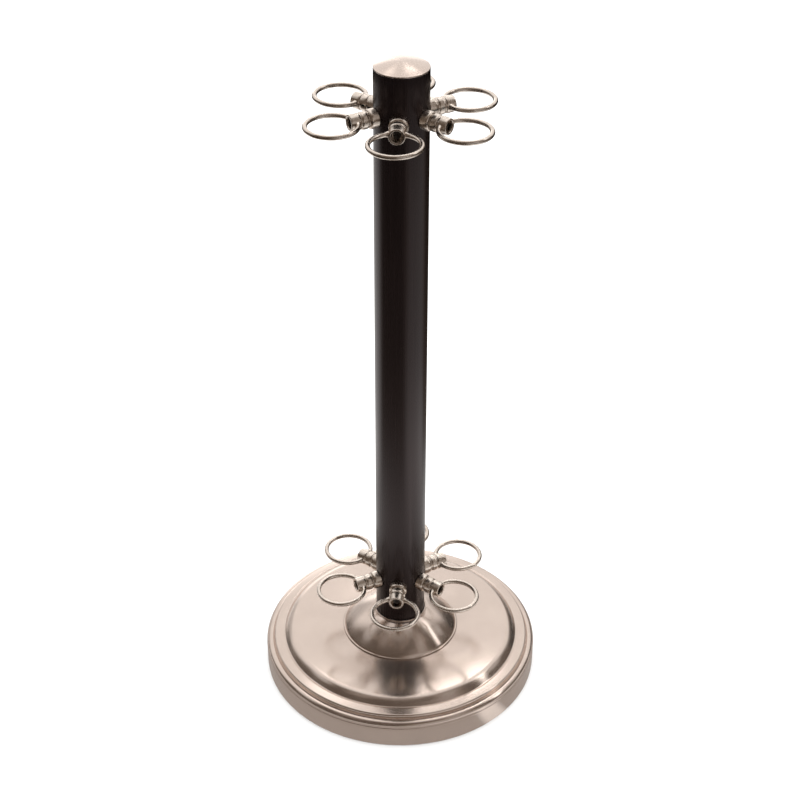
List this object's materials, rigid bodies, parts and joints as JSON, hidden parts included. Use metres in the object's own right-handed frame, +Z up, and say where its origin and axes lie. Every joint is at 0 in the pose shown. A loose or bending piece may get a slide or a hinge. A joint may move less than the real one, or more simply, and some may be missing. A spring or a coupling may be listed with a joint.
{
  "type": "floor-standing ring rack",
  "caption": "Free-standing rack: weighted round base, dark upright column and tiers of horizontal wire rings on turned posts, to hold cues, canes or rods upright.",
  "frame": {"origin": "centre of the base, on the floor", "axes": "+Z up along the column; -Y towards the front ring of each tier; +X to the right seen from the front"},
  "size_m": [0.2866, 0.2866, 0.6825],
  "materials": {
    "brushed_nickel": "circular brushed satin nickel",
    "polished_nickel": "polished warm nickel plate",
    "black_lacquered_wood": "near-black satin lacquer over lengthwise grain",
    "base_rubber": "matt",
    "cast_iron": "rough cast, black painted",
    "zinc_steel": "zinc plated",
    "screw_steel": "dark oxide",
    "insert_brass": "machined"
  },
  "bodies": {
    "stand": {"base_pad": "base_rubber", "base_weight": "cast_iron", "base_shell": "brushed_nickel", "flange_cover": "brushed_nickel", "base_bolt": "zinc_steel", "base_washer": "zinc_steel", "column": "black_lacquered_wood", "column_insert": "insert_brass", "top_cap": "brushed_nickel", "lower_front_collar": "polished_nickel", "lower_front_screw": "screw_steel", "lower_front_right_collar": "polished_nickel", "lower_front_right_screw": "screw_steel", "lower_back_right_collar": "polished_nickel", "lower_back_right_screw": "screw_steel", "lower_back_collar": "polished_nickel", "lower_back_screw": "screw_steel", "lower_back_left_collar": "polished_nickel", "lower_back_left_screw": "screw_steel", "lower_front_left_collar": "polished_nickel", "lower_front_left_screw": "screw_steel", "upper_front_collar": "polished_nickel", "upper_front_screw": "screw_steel", "upper_front_right_collar": "polished_nickel", "upper_front_right_screw": "screw_steel", "upper_back_right_collar": "polished_nickel", "upper_back_right_screw": "screw_steel", "upper_back_collar": "polished_nickel", "upper_back_screw": "screw_steel", "upper_back_left_collar": "polished_nickel", "upper_back_left_screw": "screw_steel", "upper_front_left_collar": "polished_nickel", "upper_front_left_screw": "screw_steel"},
    "lower_front_holder": {"lower_front_post": "polished_nickel", "lower_front_ring": "polished_nickel"},
    "lower_front_right_holder": {"lower_front_right_post": "polished_nickel", "lower_front_right_ring": "polished_nickel"},
    "lower_back_right_holder": {"lower_back_right_post": "polished_nickel", "lower_back_right_ring": "polished_nickel"},
    "lower_back_holder": {"lower_back_post": "polished_nickel", "lower_back_ring": "polished_nickel"},
    "lower_back_left_holder": {"lower_back_left_post": "polished_nickel", "lower_back_left_ring": "polished_nickel"},
    "lower_front_left_holder": {"lower_front_left_post": "polished_nickel", "lower_front_left_ring": "polished_nickel"},
    "upper_front_holder": {"upper_front_post": "polished_nickel", "upper_front_ring": "polished_nickel"},
    "upper_front_right_holder": {"upper_front_right_post": "polished_nickel", "upper_front_right_ring": "polished_nickel"},
    "upper_back_right_holder": {"upper_back_right_post": "polished_nickel", "upper_back_right_ring": "polished_nickel"},
    "upper_back_holder": {"upper_back_post": "polished_nickel", "upper_back_ring": "polished_nickel"},
    "upper_back_left_holder": {"upper_back_left_post": "polished_nickel", "upper_back_left_ring": "polished_nickel"},
    "upper_front_left_holder": {"upper_front_left_post": "polished_nickel", "upper_front_left_ring": "polished_nickel"}
  },
  "joints": [
    {"name": "lower_front_swivel", "type": "hinge", "parent": "stand", "child": "lower_front_holder", "pos_m": [0, -0.033, 0.1105], "axis": [0, -1, 0], "range_deg": [-90, 90]},
    {"name": "lower_front_right_swivel", "type": "hinge", "parent": "stand", "child": "lower_front_right_holder", "pos_m": [0.02858, -0.0165, 0.1105], "axis": [0.866, -0.5, 0], "range_deg": [-90, 90]},
    {"name": "lower_back_right_swivel", "type": "hinge", "parent": "stand", "child": "lower_back_right_holder", "pos_m": [0.02858, 0.0165, 0.1105], "axis": [0.866, 0.5, 0], "range_deg": [-90, 90]},
    {"name": "lower_back_swivel", "type": "hinge", "parent": "stand", "child": "lower_back_holder", "pos_m": [0, 0.033, 0.1105], "axis": [0, 1, 0], "range_deg": [-90, 90]},
    {"name": "lower_back_left_swivel", "type": "hinge", "parent": "stand", "child": "lower_back_left_holder", "pos_m": [-0.02858, 0.0165, 0.1105], "axis": [-0.866, 0.5, 0], "range_deg": [-90, 90]},
    {"name": "lower_front_left_swivel", "type": "hinge", "parent": "stand", "child": "lower_front_left_holder", "pos_m": [-0.02858, -0.0165, 0.1105], "axis": [-0.866, -0.5, 0], "range_deg": [-90, 90]},
    {"name": "upper_front_swivel", "type": "hinge", "parent": "stand", "child": "upper_front_holder", "pos_m": [0, -0.033, 0.6334], "axis": [0, -1, 0], "range_deg": [-90, 90]},
    {"name": "upper_front_right_swivel", "type": "hinge", "parent": "stand", "child": "upper_front_right_holder", "pos_m": [0.02858, -0.0165, 0.6334], "axis": [0.866, -0.5, 0], "range_deg": [-90, 90]},
    {"name": "upper_back_right_swivel", "type": "hinge", "parent": "stand", "child": "upper_back_right_holder", "pos_m": [0.02858, 0.0165, 0.6334], "axis": [0.866, 0.5, 0], "range_deg": [-90, 90]},
    {"name": "upper_back_swivel", "type": "hinge", "parent": "stand", "child": "upper_back_holder", "pos_m": [0, 0.033, 0.6334], "axis": [0, 1, 0], "range_deg": [-90, 90]},
    {"name": "upper_back_left_swivel", "type": "hinge", "parent": "stand", "child": "upper_back_left_holder", "pos_m": [-0.02858, 0.0165, 0.6334], "axis": [-0.866, 0.5, 0], "range_deg": [-90, 90]},
    {"name": "upper_front_left_swivel", "type": "hinge", "parent": "stand", "child": "upper_front_left_holder", "pos_m": [-0.02858, -0.0165, 0.6334], "axis": [-0.866, -0.5, 0], "range_deg": [-90, 90]}
  ]
}
